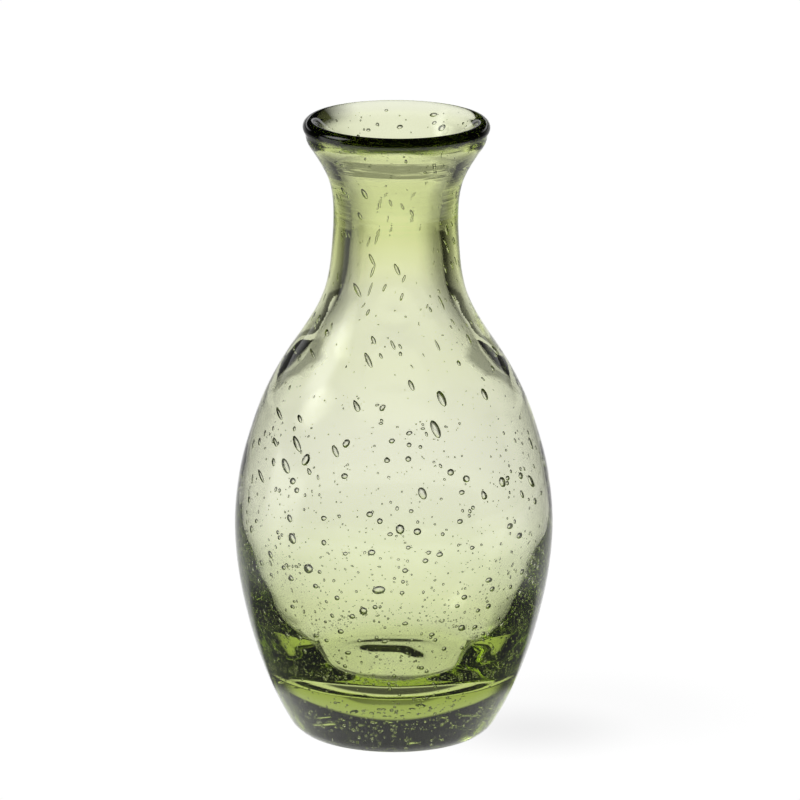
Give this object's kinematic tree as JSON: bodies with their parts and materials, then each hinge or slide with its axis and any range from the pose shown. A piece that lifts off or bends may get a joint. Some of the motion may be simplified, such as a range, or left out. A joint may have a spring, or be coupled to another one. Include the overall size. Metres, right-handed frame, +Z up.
{
  "type": "sake bottle",
  "caption": "Small hand-blown bubble-glass sake bottle with an egg-shaped belly, narrow neck, flared round lip and heavy base.",
  "frame": {"origin": "centre of the foot ring, on the plane the bottle stands on", "axes": "+Z up along the bottle's axis, from the foot to the mouth; the body is round, so X and Y are free"},
  "size_m": [0.0712, 0.0712, 0.14],
  "materials": {
    "bubble_glass": "clear pale olive-green blown glass full of air bubbles, fire-polished, glossy"
  },
  "bodies": {
    "root": {"bottle_body": "bubble_glass"}
  },
  "joints": []
}
